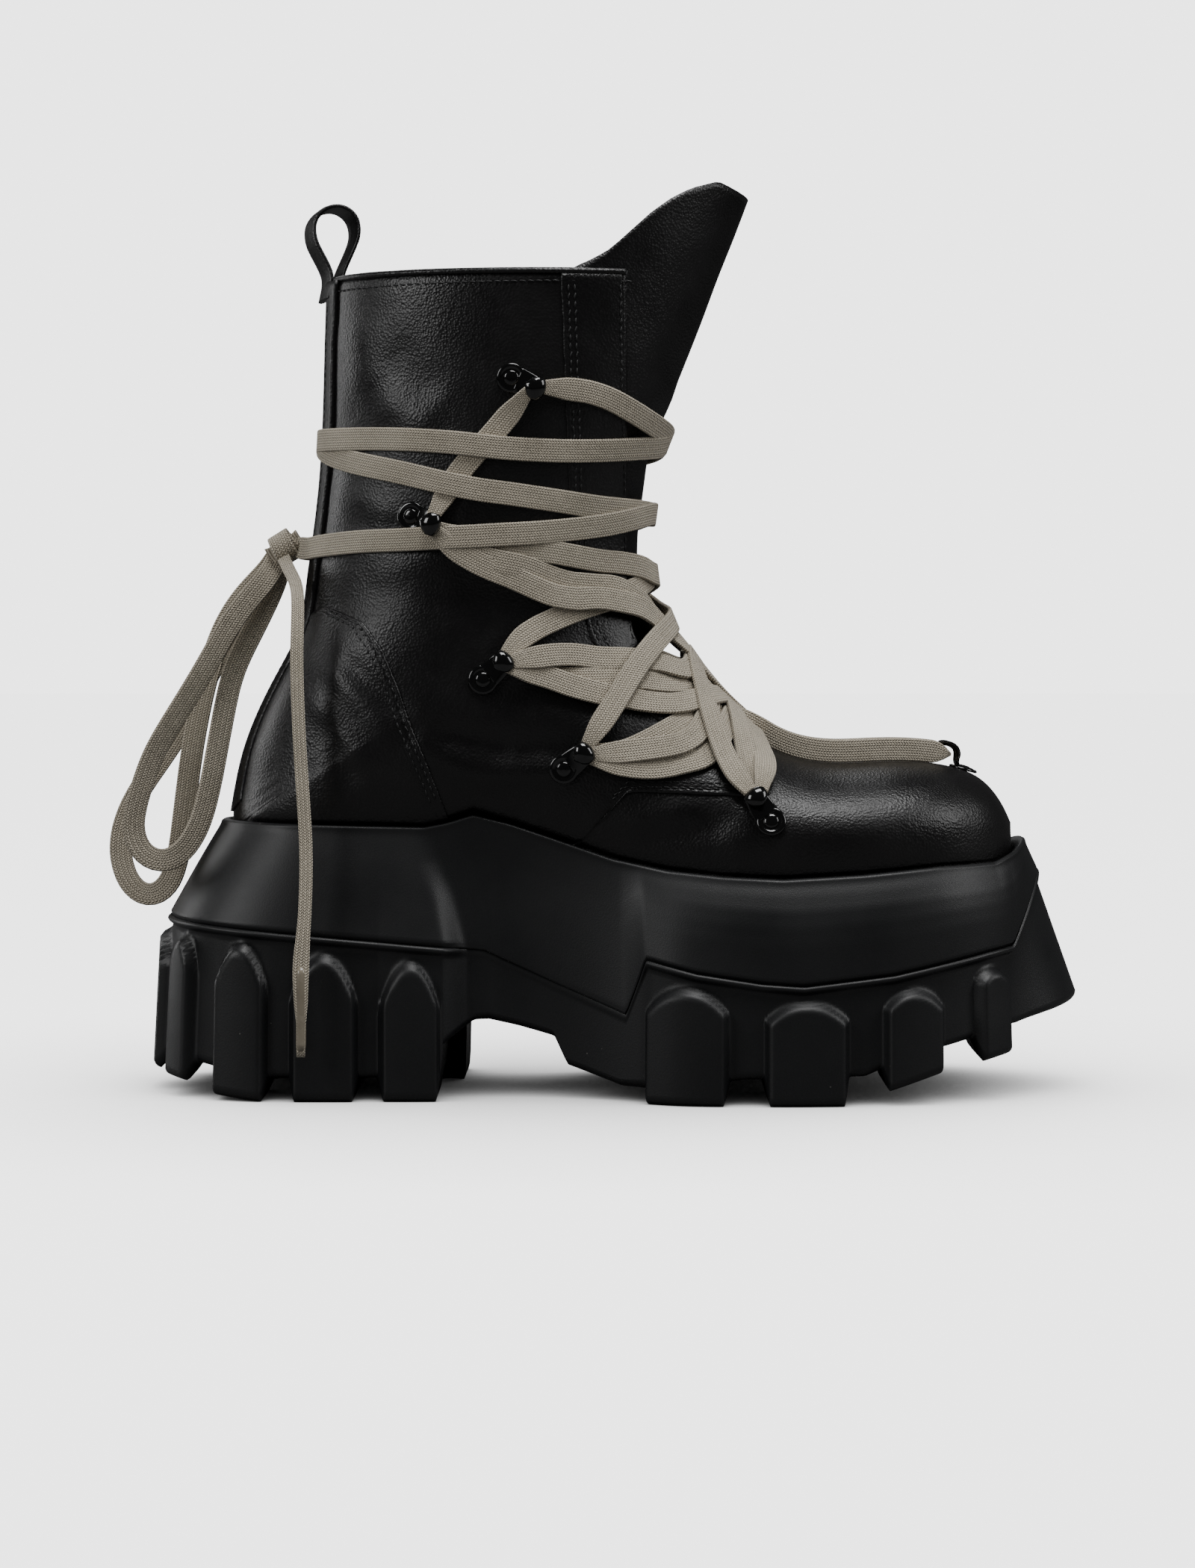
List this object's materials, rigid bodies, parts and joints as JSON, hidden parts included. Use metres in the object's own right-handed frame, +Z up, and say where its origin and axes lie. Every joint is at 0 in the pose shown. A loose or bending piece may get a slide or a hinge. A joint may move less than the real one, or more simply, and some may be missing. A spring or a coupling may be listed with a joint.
{
  "type": "boot",
  "caption": "Ankle boot with a tall lugged rubber sole and flared heel, hollow leather upper with a high tongue, hook lacing over the throat and round the shaft, tied behind",
  "frame": {"origin": "on the floor, under the middle of the boot without its hanging laces", "axes": "+X to the toe, +Y to the medial side, +Z up"},
  "size_m": [0.3523, 0.1292, 0.3224],
  "materials": {
    "rubber": "matte moulded black",
    "leather": "smooth black, soft sheen",
    "lining": "dull dark lining",
    "enamel": "gloss black",
    "lace": "flat woven taupe cotton"
  },
  "bodies": {
    "root": {"outsole": "rubber", "midsole": "rubber", "insole": "lining", "upper": "leather", "tongue": "leather", "back_stay": "leather", "counter_lateral": "leather", "counter_medial": "leather", "pull_loop": "leather", "lacing": "lace", "bow_loop_outer": "lace", "bow_loop_inner": "lace", "lace_end": "lace", "lace_knot": "lace", "hook_top_lateral": "enamel", "hook_top_medial": "enamel", "hook_ankle_lateral": "enamel", "hook_ankle_medial": "enamel", "hook_instep_lateral": "enamel", "hook_instep_medial": "enamel", "hook_side_lateral": "enamel", "hook_side_medial": "enamel", "hook_vamp_lateral": "enamel", "hook_vamp_medial": "enamel", "hook_toe": "enamel"}
  },
  "joints": []
}
